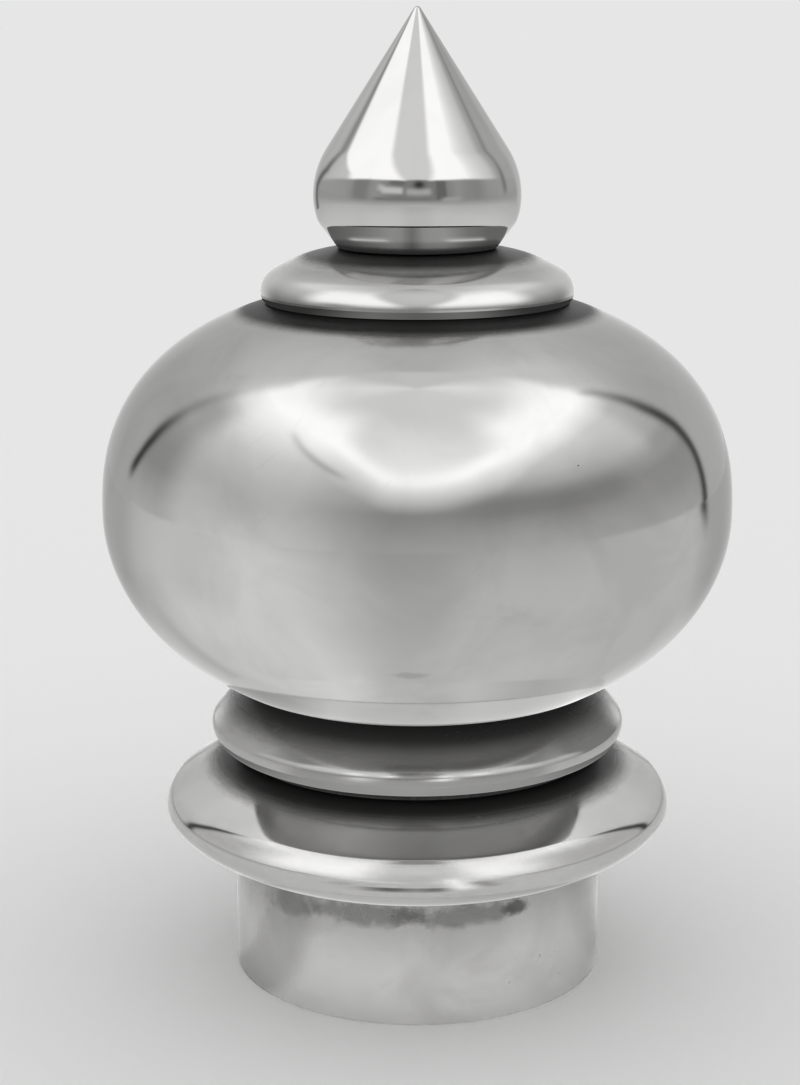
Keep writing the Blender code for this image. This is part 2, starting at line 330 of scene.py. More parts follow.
def turn_piece(name, outline, material):
    """Turns the outline, which runs from top to bottom, once round the upright axis."""
    ends_on_axis = outline[0][0] == 0.0
    points, rings = [], []
    for radius, height in outline:
        if radius == 0.0:
            rings.append([len(points)] * TURN_STEPS)
            points.append((0.0, 0.0, height))
            continue
        rings.append([len(points) + step for step in range(TURN_STEPS)])
        for step in range(TURN_STEPS):
            turn = 2 * math.pi * step / TURN_STEPS
            points.append((radius * math.cos(turn), radius * math.sin(turn), height))
    pairs = list(zip(rings, rings[1:]))
    if not ends_on_axis:
        pairs.append((rings[-1], rings[0]))
    faces = []
    for above, below in pairs:
        for step in range(TURN_STEPS):
            after = (step + 1) % TURN_STEPS
            corners = (above[step], below[step], below[after], above[after])
            faces.append(tuple(dict.fromkeys(corners)))
    piece = make_object(name, points, faces, material)
    piece.data.shade_smooth()
    piece.data.set_sharp_from_angle(angle=SHARP_EDGE)
    return piece


# Node helpers


def add_node(tree, kind, **settings):
    """kind is the shader node's type, such as Math."""
    node = tree.nodes.new("ShaderNode" + kind)
    for setting, value in settings.items():
        setattr(node, setting, value)
    return node


def plug(tree, value, socket):
    """Feeds a socket from another socket, or sets it to a plain number or colour."""
    if isinstance(value, bpy.types.NodeSocket):
        tree.links.new(value, socket)
    else:
        socket.default_value = value


def work_out(tree, operation, *values):
    """Adds one sum and gives its result."""
    node = add_node(tree, "Math", operation=operation)
    for value, socket in zip(values, node.inputs):
        plug(tree, value, socket)
    return node.outputs[0]


def times(tree, first, second):
    return work_out(tree, "MULTIPLY", first, second)


def ease(tree, value, low, high):
    """0 at low, 1 at high, and a smooth rise between them."""
    node = add_node(tree, "MapRange", interpolation_type="SMOOTHSTEP")
    plug(tree, value, node.inputs["Value"])
    plug(tree, low, node.inputs["From Min"])
    plug(tree, high, node.inputs["From Max"])
    return node.outputs["Result"]


def join_vector(tree, across, away, up):
    node = add_node(tree, "CombineXYZ")
    for value, socket in zip((across, away, up), node.inputs):
        plug(tree, value, socket)
    return node.outputs[0]


def split_vector(tree, vector):
    node = add_node(tree, "SeparateXYZ")
    plug(tree, vector, node.inputs[0])
    return node.outputs


def stretch(tree, place, factors):
    """Multiplies a place by its own factor along each axis."""
    node = add_node(tree, "VectorMath", operation="MULTIPLY")
    plug(tree, place, node.inputs[0])
    node.inputs[1].default_value = factors
    return node.outputs[0]


def grain(tree, place, scale, detail=2.0, roughness=0.5, fourth=None, distortion=0.0):
    """Noise at this place, about 0.2 to 0.8 around 0.5."""
    node = add_node(tree, "TexNoise", noise_dimensions="3D" if fourth is None else "4D")
    plug(tree, place, node.inputs["Vector"])
    plug(tree, scale, node.inputs["Scale"])
    node.inputs["Detail"].default_value = detail
    node.inputs["Roughness"].default_value = roughness
    node.inputs["Distortion"].default_value = distortion
    if fourth is not None:
        plug(tree, fourth, node.inputs["W"])
    return node.outputs["Fac"]


def object_place(tree):
    return add_node(tree, "TexCoord").outputs["Object"]


def start_group(name, inputs, outputs, vectors=()):
    """Empty node group with numbers in and out. vectors are further outputs."""
    tree = bpy.data.node_groups.new(name, "ShaderNodeTree")
    for labels, way, kind in (
        (inputs, "INPUT", "NodeSocketFloat"),
        (outputs, "OUTPUT", "NodeSocketFloat"),
        (vectors, "OUTPUT", "NodeSocketVector"),
    ):
        for label in labels:
            tree.interface.new_socket(label, in_out=way, socket_type=kind)
    return tree, tree.nodes.new("NodeGroupInput"), tree.nodes.new("NodeGroupOutput")


# Workshop marks, and the masks of painted shade where pieces meet and on the camera's side
# A RANGE is where a mask starts and where it is full. Lines, clouds and other counts are per metre.

SMALLEST_RADIUS = 0.1 * MM
LINES = 5000.0
LINE_BREAKS = (2.0, 2.0, 2.0)
CLOUDS = 45.0
CLOUD_RANGE = (0.36, 0.68)
WAVES = 76.5
SCRATCHES = 1500.0
HAIRLINE_LAYS = ((0.3, 0.5, 0.2), (1.1, -0.4, 0.9), (-0.7, 1.2, 2.1))
HAIRLINE_STRETCH = (0.03, 1.0, 0.25)
HAIRLINE_RANGE = (0.70, 0.76)
HAIRLINE_GROUPS = 55.0
HAIRLINE_GROUP_RANGE = (0.48, 0.62)
WIPE_STRETCH = (0.7, 0.7, 1.6)
BLOTS = 45.0
BLOT_LOW = 0.74
BLOT_GAIN = 0.3
BLOT_SOFTNESS = 0.22
STREAKS = 700.0
STREAK_RANGE = (0.2, 0.6)
SPECK_CELLS = 200.0
SPECK_SIZE = 0.045
RING_GRAIN = 260.0
SHADE_SPOT_GRAIN = 240.0
SHADE_SPOT_UNEVENNESS = 1.4
SHADE_SPOT_RANGE = (1.15, 0.45)


def build_turned_place():
    """Where a point lies on a turned piece: its radius, its height and the way it faces."""
    tree, _, given = start_group("turned_place", (), ("Radius", "Height"), vectors=("Facing",))
    across, away, height = split_vector(tree, object_place(tree))
    squares = [times(tree, value, value) for value in (across, away)]
    radius = work_out(tree, "SQRT", work_out(tree, "ADD", *squares))
    divisor = work_out(tree, "MAXIMUM", radius, SMALLEST_RADIUS)
    shares = [work_out(tree, "DIVIDE", value, divisor) for value in (across, away)]
    plug(tree, join_vector(tree, *shares, 0.0), given.inputs["Facing"])
    plug(tree, radius, given.inputs["Radius"])
    plug(tree, height, given.inputs["Height"])
    return tree


def place_group(tree, group, **values):
    """Puts a mark's group into a material or another group. Names with _ stand for spaces."""
    node = add_node(tree, "Group", node_tree=group)
    for label, value in values.items():
        plug(tree, value, node.inputs[label.replace("_", " ")])
    return node


def build_turning_lines():
    """Fine lines that run round the piece, left by the polishing wheel as the piece turned."""
    tree, _, given = start_group("turning_lines", (), ("Ridge",))
    place = place_group(tree, TURNED_PLACE)
    across, away, _ = split_vector(tree, stretch(tree, place.outputs["Facing"], LINE_BREAKS))
    upward = times(tree, place.outputs["Height"], LINES)
    outward = times(tree, place.outputs["Radius"], LINES)
    spot = join_vector(tree, across, away, upward)
    plug(tree, grain(tree, spot, 1.0, 3.0, 0.6, fourth=outward), given.inputs["Ridge"])
    return tree


def build_buffing_clouds():
    """Broad soft patches where the buffing wheel dwelt, and the slow waves it left."""
    tree, _, given = start_group("buffing_clouds", (), ("Cloud", "Wave"))
    place = object_place(tree)
    cloud = grain(tree, place, CLOUDS, 3.0, 0.55, distortion=0.6)
    plug(tree, ease(tree, cloud, *CLOUD_RANGE), given.inputs["Cloud"])
    plug(tree, grain(tree, place, WAVES, 1.0, 0.4), given.inputs["Wave"])
    return tree


def build_hairlines():
    """Thin straight scratches that lie several ways, in patches."""
    tree, taken, given = start_group("hairlines", ("Share",), ("Scratch",))
    place = object_place(tree)
    total = 0.0
    for lay in HAIRLINE_LAYS:
        turned = add_node(tree, "VectorRotate", rotation_type="EULER_XYZ")
        plug(tree, place, turned.inputs["Vector"])
        turned.inputs["Rotation"].default_value = lay
        drawn = stretch(tree, turned.outputs[0], HAIRLINE_STRETCH)
        line = ease(tree, grain(tree, drawn, SCRATCHES, 1.0, 0.3), *HAIRLINE_RANGE)
        group = ease(tree, grain(tree, turned.outputs[0], HAIRLINE_GROUPS, 1.0), *HAIRLINE_GROUP_RANGE)
        total = work_out(tree, "MAXIMUM", total, times(tree, line, group))
    plug(tree, times(tree, total, taken.outputs["Share"]), given.inputs["Scratch"])
    return tree


def build_wipe_marks():
    """Film left by a cloth: soft blots with a streaky edge."""
    tree, taken, given = start_group("wipe_marks", ("Cover",), ("Film",))
    drawn = stretch(tree, object_place(tree), WIPE_STRETCH)
    blot = grain(tree, drawn, BLOTS, 4.0, 0.55, distortion=0.4)
    low = work_out(tree, "SUBTRACT", BLOT_LOW, times(tree, taken.outputs["Cover"], BLOT_GAIN))
    edge = ease(tree, blot, low, work_out(tree, "ADD", low, BLOT_SOFTNESS))
    streak = ease(tree, grain(tree, drawn, STREAKS, 2.0, 0.6), *STREAK_RANGE)
    plug(tree, times(tree, edge, streak), given.inputs["Film"])
    return tree


def build_specks():
    """Small dark pits and grains of dust."""
    tree, taken, given = start_group("specks", ("Share",), ("Speck",))
    cells = add_node(tree, "TexVoronoi")
    plug(tree, object_place(tree), cells.inputs["Vector"])
    cells.inputs["Scale"].default_value = SPECK_CELLS
    chance = add_node(tree, "SeparateColor")
    plug(tree, cells.outputs["Color"], chance.inputs[0])
    kept = work_out(tree, "LESS_THAN", chance.outputs[0], taken.outputs["Share"])
    reach = times(tree, SPECK_SIZE, chance.outputs[1])
    dot = work_out(tree, "LESS_THAN", cells.outputs["Distance"], reach)
    plug(tree, times(tree, kept, dot), given.inputs["Speck"])
    return tree


def build_joint_shade_ring():
    """Ring round a joint for its black, partly polishing compound and partly painted shade: full up to one
    radius, gone at another, with an uneven border.
    """
    tree, taken, given = start_group("joint_shade_ring", ("Full", "Gone", "Bottom", "Top", "Ragged"), ("Ring",))
    place = place_group(tree, TURNED_PLACE)
    uneven = work_out(tree, "SUBTRACT", grain(tree, object_place(tree), RING_GRAIN, 3.0, 0.6), 0.5)
    ragged = times(tree, uneven, taken.outputs["Ragged"])
    radius = work_out(tree, "ADD", place.outputs["Radius"], ragged)
    inward = ease(tree, radius, taken.outputs["Gone"], taken.outputs["Full"])
    above = work_out(tree, "GREATER_THAN", place.outputs["Height"], taken.outputs["Bottom"])
    below = work_out(tree, "LESS_THAN", place.outputs["Height"], taken.outputs["Top"])
    level = times(tree, above, below)
    plug(tree, times(tree, inward, level), given.inputs["Ring"])
    return tree


def build_shade_spot():
    """Dark patch of painted shade on the camera's side, longer than it is high, with an uneven border."""
    tree, taken, given = start_group("shade_spot", ("Across", "Up", "Half width", "Half height"), ("Painted_shade",))
    across, away, height = split_vector(tree, object_place(tree))
    parts = []
    for value, middle, half in ((across, "Across", "Half width"), (height, "Up", "Half height")):
        offset = work_out(tree, "SUBTRACT", value, taken.outputs[middle])
        share = work_out(tree, "DIVIDE", offset, taken.outputs[half])
        parts.append(times(tree, share, share))
    reach = work_out(tree, "SQRT", work_out(tree, "ADD", *parts))
    uneven = grain(tree, object_place(tree), SHADE_SPOT_GRAIN, 3.0, 0.65)
    centred = work_out(tree, "SUBTRACT", reach, SHADE_SPOT_UNEVENNESS / 2)
    ragged_reach = work_out(tree, "MULTIPLY_ADD", uneven, SHADE_SPOT_UNEVENNESS, centred)
    near_side = work_out(tree, "LESS_THAN", away, 0.0)
    shade_spot = times(tree, ease(tree, ragged_reach, *SHADE_SPOT_RANGE), near_side)
    plug(tree, shade_spot, given.inputs["Painted_shade"])
    return tree


TURNED_PLACE = build_turned_place()
TURNING_LINES = build_turning_lines()
BUFFING_CLOUDS = build_buffing_clouds()
HAIRLINES = build_hairlines()
WIPE_MARKS = build_wipe_marks()
SPECKS = build_specks()
JOINT_SHADE_RING = build_joint_shade_ring()
SHADE_SPOT = build_shade_spot()


# Steels
# Rings and Spots are in millimetres. Their depth is how much of the steel they hide, 1 at most.

# Rings paint black where two pieces meet, partly polishing compound and partly painted shade. Spots paint
# shade and dark reflections on the camera's side.
Ring = namedtuple("Ring", "full gone bottom top depth")
Spot = namedtuple("Spot", "across up half_width half_height depth")

STEEL_SHARE = 0.57
CLEAN_STEEL = (0.57, 0.568, 0.562, 1.0)
CLOUDED_STEEL = (0.52, 0.518, 0.512, 1.0)
FILM_ON_STEEL = (0.47, 0.465, 0.455, 1.0)
PIT = (0.26, 0.25, 0.24, 1.0)
# Black of the joint rings and the camera-side patches: partly polishing compound, partly painted shade.
COMPOUND_AND_SHADE = (0.034, 0.033, 0.032, 1.0)
STEEL_EDGE = (0.83, 0.83, 0.83, 1.0)
SCRATCH_TONE = 0.5
SCRATCH_DULL = 0.10
SCRATCH_DEPTH = 0.0005
PIT_DULL = 0.3
SHADE_SPOT_DULL = 0.2
JOINT_DULL = 0.25


def tint(tree, share, under, over):
    """Lays one colour over another by a mask."""
    node = add_node(tree, "Mix", data_type="RGBA")
    plug(tree, share, node.inputs["Factor"])
    plug(tree, under, node.inputs["A"])
    plug(tree, over, node.inputs["B"])
    return node.outputs["Result"]


def add_up(tree, start, *parts):
    """start plus each mask times its weight."""
    total = start
    for mask, weight in parts:
        total = work_out(tree, "MULTIPLY_ADD", mask, weight, total)
    return total


def mark_mask(tree, group, mark, **settings):
    """Mask of a Ring or a Spot, times its depth."""
    sizes = {label.capitalize(): value * MM for label, value in mark._asdict().items() if label != "depth"}
    node = place_group(tree, group, **sizes, **settings)
    return times(tree, node.outputs[0], mark.depth)


def new_material(name):
    material = bpy.data.materials.new(name)
    material.use_nodes = True
    return material, material.node_tree


def make_steel(slot, finish):
    """One piece's steel, with its own measure of each workshop mark."""
    material, tree = new_material(slot)
    shader = tree.nodes["Principled BSDF"]
    shader.inputs["Specular Tint"].default_value = STEEL_EDGE
    ridge = place_group(tree, TURNING_LINES).outputs["Ridge"]
    buffed = place_group(tree, BUFFING_CLOUDS)
    cloud, wave = buffed.outputs["Cloud"], buffed.outputs["Wave"]
    scratch = place_group(tree, HAIRLINES, Share=finish["scratch_share"]).outputs["Scratch"]
    film = place_group(tree, WIPE_MARKS, Cover=finish["cover"]).outputs["Film"]
    speck = place_group(tree, SPECKS, Share=finish["speck_share"]).outputs["Speck"]

    color = tint(tree, times(tree, cloud, finish["cloud_tone"]), CLEAN_STEEL, CLOUDED_STEEL)
    color = tint(tree, times(tree, film, finish["film_tone"]), color, FILM_ON_STEEL)
    color = tint(tree, times(tree, scratch, SCRATCH_TONE), color, CLOUDED_STEEL)
    color = tint(tree, speck, color, PIT)
    roughness = add_up(
        tree,
        finish["roughness"],
        (cloud, finish["cloud_dull"]),
        (film, finish["film_dull"]),
        (scratch, SCRATCH_DULL),
        (speck, PIT_DULL),
    )
    # Each spot paints shade on the camera's side.
    for spot in finish["spots"]:
        shade_spot = mark_mask(tree, SHADE_SPOT, spot)
        color = tint(tree, shade_spot, color, COMPOUND_AND_SHADE)
        roughness = add_up(tree, roughness, (shade_spot, SHADE_SPOT_DULL))
    metal = 1.0
    # Each joint ring paints black where pieces meet, partly polishing compound and partly painted shade, with
    # less metal there.
    for ring in finish["joints"]:
        black = mark_mask(tree, JOINT_SHADE_RING, ring, Ragged=finish["ragged"])
        color = tint(tree, black, color, COMPOUND_AND_SHADE)
        roughness = add_up(tree, roughness, (black, JOINT_DULL))
        metal = times(tree, metal, work_out(tree, "SUBTRACT", 1.0, black))
    plug(tree, color, shader.inputs["Base Color"])
    plug(tree, roughness, shader.inputs["Roughness"])
    plug(tree, metal, shader.inputs["Metallic"])

    relief = add_up(
        tree,
        0.0,
        (ridge, finish["line_depth"]),
        (wave, finish["wave_depth"]),
        (scratch, -SCRATCH_DEPTH),
    )
    bump = add_node(tree, "Bump")
    bump.inputs["Distance"].default_value = MM
    plug(tree, relief, bump.inputs["Height"])
    tree.links.new(bump.outputs["Normal"], shader.inputs["Normal"])
    return material


POLISHED = {
    "roughness": 0.055,
    "line_depth": 0.0003,
    "cloud_tone": 0.5,
    "cloud_dull": 0.02,
    "wave_depth": 0.03,
    "scratch_share": 0.4,
    "cover": 0.3,
    "film_tone": 0.4,
    "film_dull": 0.05,
    "speck_share": 0.05,
    "joints": (),
    "spots": (),
    "ragged": 0.6 * MM,
}

# The joint rings of each piece paint black where it meets its neighbours, partly polishing compound and
# partly painted shade. The spots paint shade on the camera's side.
FINISHES = {
    "collar": {
        **POLISHED,
        "roughness": 0.16,
        "line_depth": 0.0012,
        "cloud_tone": 0.9,
        "cloud_dull": 0.05,
        "wave_depth": 0.06,
        "scratch_share": 0.9,
        "cover": 0.5,
        "film_tone": 0.5,
        "film_dull": 0.08,
        "speck_share": 0.12,
        "ragged": 1.6 * MM,
        # The collar's spots paint the shade under the flange onto the collar's top.
        "spots": (
            Spot(-10.0, 23.6, 15.0, 3.0, 0.34),
            Spot(9.0, 23.4, 13.0, 2.8, 0.34),
            Spot(20.5, 23.6, 3.0, 1.8, 0.52),
            Spot(-26.0, 23.0, 6.0, 3.0, 0.20),
        ),
    },
    # The flange's ring paints the shade under the bead ring.
    "base_flange": {**POLISHED, "roughness": 0.07, "joints": (Ring(41.5, 47.0, 40.0, 50.0, 0.95),)},
    "bead_ring": {
        **POLISHED,
        "roughness": 0.07,
        "joints": (Ring(38.5, 43.8, 54.5, 65.0, 0.8), Ring(38.5, 42.2, 45.0, 53.5, 0.8)),
        # The bead's spot paints a dark reflection on the front of its rim, between the glints.
        "spots": (Spot(-1.5, 56.0, 6.5, 1.0, 0.25),),
    },
    "ball": {
        **POLISHED,
        "roughness": 0.085,
        "speck_share": 0.02,
        "cloud_tone": 0.8,
        "cover": 0.4,
        # The ball's rings paint shade at its foot and under the saucer. Its spots paint shade under the
        # saucer and a thin dark line on its lower front.
        "joints": (Ring(39.6, 42.2, 50.0, 70.0, 0.9), Ring(35.5, 39.6, 130.0, 150.0, 1.0)),
        "spots": (Spot(-1.2, 80.3, 4.0, 0.9, 0.14), Spot(-2.0, 141.2, 12.0, 1.3, 0.22)),
    },
    "saucer": {
        **POLISHED,
        # The saucer's rings paint the spike's shade on its crown.
        "joints": (Ring(22.2, 26.6, 145.0, 160.0, 0.95), Ring(27.0, 31.5, 145.0, 160.0, 0.2)),
    },
    "spike": {
        **POLISHED,
        "roughness": 0.05,
        "joints": (Ring(15.5, 17.8, 150.0, 160.0, 0.9),),
    },
}


# Light cloths
# Tones are greys of the picture from 0 to 255. Turns and rises are degrees, and reaches are metres.

PICTURE_GAMMA = 0.65
TENT_RADIUS = 1.0
TENT_SPACING = 0.004
TENT_CENTRE_HEIGHT = 0.1
FOOT_RISE = math.degrees(math.asin(TENT_CENTRE_HEIGHT / TENT_RADIUS))
TENT_TURN_STEP = 1.0
TENT_RISE_STEP = 0.5
FLOOR_TURN_STEP = 2.0
STRIP_TURN_STEP = 4.0
CLOTH_DROP = 0.05 * MM
STRIP_GAP = 0.10 * MM
STRIP_SPACING = 0.02 * MM
SHOULDER_REACH = (30.4 * MM, 52.0 * MM)
COLLAR_BARE_END = 1.0 * MM


def tone_light(tone):
    """Brightness that shows as this tone of the picture, where 255 is white."""
    shown = (np.maximum(tone, 0.0) / 255) ** PICTURE_GAMMA
    return ((shown + 0.055) / 1.055) ** 2.4


def rise_to(value, low, high):
    """0 below low, 1 above high, and a smooth rise between them."""
    share = np.clip((value - low) / (high - low), 0.0, 1.0)
    return share * share * (3 - 2 * share)


def mix(first, second, share):
    return first * (1 - share) + second * share


def paint(tone, *coats):
    """Lays coats over a tone, one after the other. A coat is (its tone, its mask)."""
    for coat, mask in coats:
        tone = mix(tone, coat, mask)
    return tone


def patch(value, low, high, soft):
    """1 between low and high, with soft borders."""
    return rise_to(value, low - soft, low + soft) * (1 - rise_to(value, high - soft, high + soft))


def stripe(value, middle, width):
    """1 in the middle, falling off softly on both sides."""
    return np.exp(-(((value - middle) / width) ** 2))


def along(value, *stops):
    """Goes straight from stop to stop. A stop is (place, tone)."""
    return np.interp(value, [place for place, _ in stops], [tone for _, tone in stops])


def by_turn(*stops):
    """Tone that is the same at every reach and changes with the turn alone."""
    return lambda turn, reach: along(turn, *stops)


def by_side(*stops):
    """The same, where both sides of the camera are alike."""
    return lambda turn, reach: along(np.abs(turn), *stops)


def ball_tent_tone(turn, rise):
    """Cloth round the ball. turn is from the camera's side, and rise is from level."""
    side = np.abs(turn)
    left_wall = along(rise, (-8, 190), (0, 184), (8, 176), (15, 175), (22, 181), (34, 196), (46, 226))
    front_wall = along(rise, (-8, 158), (-1, 148), (6, 138), (12, 130), (18, 148), (30, 165))
    right_wall = along(
        rise, (-8, 162), (0, 154), (6, 141), (11, 125), (16, 122), (19, 132), (24, 160), (30, 182), (46, 218)
    )
    far_left = along(rise, (-8, 170), (0, 156), (10, 136), (20, 142), (30, 158), (40, 166), (48, 206))
    far_right = along(rise, (-8, 164), (5, 142), (14, 138), (20, 154), (27, 184), (40, 198))
    wall = paint(
        front_wall,
        (left_wall, rise_to(-turn, 4, 50)),
        (right_wall, rise_to(turn, 2, 30)),
        (far_left, rise_to(-turn, 86, 104)),
        (far_right, rise_to(turn, 70, 90)),
    )
    wall = wall - 18 * rise_to(turn, 94, 106) * rise_to(rise, 18, 24)
    crest = along(
        turn, (-67, 58), (-40, 51.5), (-30, 45.5), (-23, 40.5), (-18, 37), (-13, 33), (-8, 31), (0, 30.5),
        (10, 32), (19, 35), (25, 38), (31, 40.5), (43, 45), (56, 50.5), (80, 54),
    )
    glow_width = along(side, (0, 5), (60, 6))
    roof = paint(
        252,
        (along(rise, (30, 232), (44, 222), (56, 214), (90, 204)), 1 - rise_to(side, 24, 50)),
        (along(side, (0, 202), (60, 204), (100, 222), (130, 190)), rise_to(rise, 56, 76)),
        (along(side, (0, 242), (14, 248), (26, 254)), stripe(rise, crest, glow_width)),
    )
    fade = along(side, (0, 17), (30, 18), (45, 11), (70, 10))
    tone = mix(wall, roof, np.clip((rise - (crest - 2 - fade)) / fade, 0.0, 1.0))
    cord_rise = along(side, (25, 29.5), (63, 49.5))
    tone = tone - 42 * patch(turn, -62, -28, 5) * stripe(rise, cord_rise, 1.5)
    high_back = along(side, (118, 196), (126, 186), (150, 180), (168, 170))
    low_back = along(side, (118, 158), (150, 162), (168, 168)) + along(turn, (-20, 0), (20, 6))
    back = mix(low_back, high_back, rise_to(rise, 26, 58))
    back = back + 12 * stripe(turn, 133, 12) * rise_to(rise, 46, 60)
    far_edge = along(
        rise, (20, 119), (48, 112), (60, 112), (70, 124), (74, 135), (76, 146), (78, 164), (79, 184)
    )
    far_soft = along(rise, (36, 3), (56, 7))
    behind = rise_to(side, far_edge - far_soft, far_edge + far_soft)
    left_seam = along(rise, (-4, 124), (2, 122), (8, 119.5), (15, 117.5), (26, 116), (40, 115), (48, 113))
    right_seam = along(rise, (-8, 121), (10, 120.5), (20, 119.5), (33, 116), (40, 115), (48, 113), (52, 110))
    seam_width = along(rise, (10, 1.9), (34, 3.2))
    left_deep = rise_to(rise, -2, 5) * (1 - 0.8 * rise_to(rise, 12, 34)) * (1 - rise_to(rise, 34, 54))
    right_deep = (1 - 0.75 * rise_to(rise, 22, 52)) * (1 - rise_to(rise, 50, 54))
    return paint(
        tone,
        (back, behind * (1 - rise_to(rise, 78, 80))),
        (40, stripe(-turn, left_seam, seam_width) * left_deep),
        (50, stripe(turn, right_seam, seam_width) * right_deep),
    )


def spike_tent_tone(turn, rise):
    """Cloth round the spike: two bright panels above a darker band with small openings."""
    side = np.abs(turn)
    left_half = along(rise, (28, 15), (38, 25), (52, 36), (66, 50))
    right_half = along(rise, (28, 15), (38, 18), (66, 20))
    half = np.where(turn < 0, left_half, right_half)
    right_end = along(side, (58, 250), (68, 228), (80, 208), (94, 190), (103, 160), (131, 158), (150, 168))
    left_end = along(rise, (18, 82), (26, 86), (34, 104), (42, 124), (70, 130))
    panels = paint(
        250,
        (203, 1 - rise_to(side, half - 6, half + 8)),
        (right_end, rise_to(turn, 56, 62)),
        (along(side, (96, 190), (128, 180)), rise_to(-turn, left_end - 7, left_end + 7)),
    )
    band = paint(
        along(side, (0, 126), (20, 116), (34, 128), (45, 142), (58, 134), (70, 130), (85, 145), (140, 156)),
        (118, 0.8 * patch(turn, -74, -56, 5)),
        (98, patch(turn, 21, 32, 2) * patch(rise, 4, 27, 3)),
        (104, patch(turn, -31, -14, 4) * patch(rise, 22, 28, 2)),
        (178, patch(turn, -44, -38, 4) * patch(rise, 14, 21, 2)),
        (186, patch(turn, -40, -16, 3) * patch(rise, 11, 19, 3)),
        (160, patch(turn, -12, 15, 4) * patch(rise, 10, 18, 3)),
        (50, stripe(turn, 2, 6) * stripe(rise, 23, 4.5)),
        (112, patch(turn, -48, 14, 5) * patch(rise, 2, 6, 2)),
        (156, patch(turn, 27, 48, 4) * (1 - rise_to(rise, 4, 9))),
    )
    edge = along(
        side, (0, 29.2), (10, 28.6), (15, 27.6), (22, 27.9), (44, 26.6), (57, 25.4), (69, 23.5), (98, 18),
        (146, 6),
    )
    left_seam = along(rise, (4, 145), (10, 137), (16, 129), (25, 124), (40, 120))
    deep = (1 - 0.4 * rise_to(rise, 12, 31)) * (1 - rise_to(rise, 40, 60))
    return paint(
        along(rise, (-8, 186), (-4, 170), (0, 152), (4, 140)),
        (band, rise_to(rise, -1, 6)),
        (panels, rise_to(rise, edge - 2.0, edge + 1.5)),
        (174, rise_to(side, 137, 146)),
        (104, stripe(-turn, left_seam, 5) * deep),
        (118, stripe(turn, 112, 4) * deep * rise_to(rise, 0, 9)),
    )


def saucer_tent_tone(turn, rise):
    side = np.abs(turn)
    front = along(rise, (-6, 118), (5, 146), (12, 174), (22, 186), (40, 192), (58, 192), (74, 180), (86, 160))
    low_side = along(rise, (-6, 118), (-2, 142), (3, 176), (8, 212), (14, 238), (20, 246), (30, 250))
    high_side = along(rise, (30, 250), (46, 246), (58, 222), (66, 200), (84, 178))
    far = along(rise, (-6, 108), (6, 138), (20, 168), (32, 184), (45, 212), (63, 204), (84, 180))
    half = along(rise, (0, 8), (16, 13), (40, 30), (60, 42))
    return paint(
        front,
        (mix(low_side, high_side, rise_to(rise, 24, 32)), rise_to(side, half - 8, half + 10)),
        (far, rise_to(side, 72, 100)),
        (132, 0.7 * stripe(turn, -60, 15) * stripe(rise, 3, 7)),
        (along(rise, (0, 188), (20, 190), (40, 180)), rise_to(side, 120, 150)),
    )


def bead_tent_tone(turn, rise):
    side = np.abs(turn)
    near_side = along(rise, (-6, 126), (0, 150), (7, 172), (20, 193), (36, 194), (50, 160), (70, 150))
    far_side = along(rise, (-6, 140), (10, 170), (24, 176), (32, 148), (40, 130), (52, 108))
    return paint(
        along(rise, (-6, 118), (4, 130), (20, 146), (46, 124), (70, 130)),
        (near_side, rise_to(side, 8, 20)),
        (far_side, rise_to(side, 58, 78)),
        (232, (stripe(side, 15, 5) + stripe(side, 34, 7)) * stripe(rise, 19, 9)),
        (228, stripe(turn, 14, 7) * stripe(rise, -3, 6)),
        (np.where(turn < 0, 158, 116), rise_to(side, 92, 104)),
        (200, rise_to(side, 134, 152)),
    )


def flange_tent_tone(turn, rise):
    side = np.abs(turn)
    front = along(rise, (-6, 176), (10, 184), (31, 196), (50, 190), (57, 180), (61, 138), (75, 126))
    near_side = along(rise, (-6, 204), (2, 226), (10, 244), (28, 248), (46, 240), (58, 230), (72, 190))
    far_side = along(rise, (-6, 176), (10, 170), (28, 178), (42, 212), (50, 236), (60, 226), (70, 200))
    seam = along(rise, (-6, 118.5), (4, 116.5), (15, 113), (40, 111))
    return paint(
        front,
        (near_side, rise_to(side, 9, 32)),
        (far_side, np.where(turn < 0, rise_to(side, 54, 92), rise_to(side, 36, 74))),
        (236, stripe(turn, 15, 6) * stripe(rise, -4, 12)),
        (along(rise, (0, 178), (44, 200), (54, 224)), rise_to(side, seam - 3, seam + 3)),
        (52, stripe(side, seam, 2.8) * (1 - rise_to(rise, 30, 46))),
    )


def ball_floor_tone(turn, reach):
    """Cloth under the finial, as the ball sees it. reach is from the axis."""
    side = np.abs(turn)
    flanks = along(reach, (0.085, 184), (0.16, 178), (0.40, 173), (0.60, 168), (1.0, 160))
    beam = along(reach, (0.085, 210), (0.16, 209), (0.40, 201), (1.0, 191))
    beam_turn = along(reach, (0.085, -40), (0.12, -44), (0.30, -51), (1.0, -61))
    near = 1 - rise_to(reach, 0.12, 0.24)
    return paint(
        along(reach, (0.085, 178), (0.16, 169), (0.40, 160), (0.60, 152), (1.0, 147)),
        (flanks, rise_to(side, 4, 26)),
        (178, rise_to(side, 50, 80)),
        (beam, stripe(turn, beam_turn, along(reach, (0.085, 20), (0.4, 24)))),
        (186, patch(turn, -104, -84, 8)),
        (199, patch(turn, -106, -46, 8) * near),
        (mix(158, 190, near), rise_to(side, 108, 128)),
        (60, stripe(turn, 119.5, 2.2) * rise_to(reach, 0.45, 0.8)),
    )


saucer_floor_tone = by_turn(
    (-150, 150), (-120, 84), (-74, 92), (-62, 116), (-50, 138), (-24, 134), (0, 122), (16, 160),
    (36, 172), (54, 164), (66, 132), (80, 98), (120, 84), (150, 150),
)


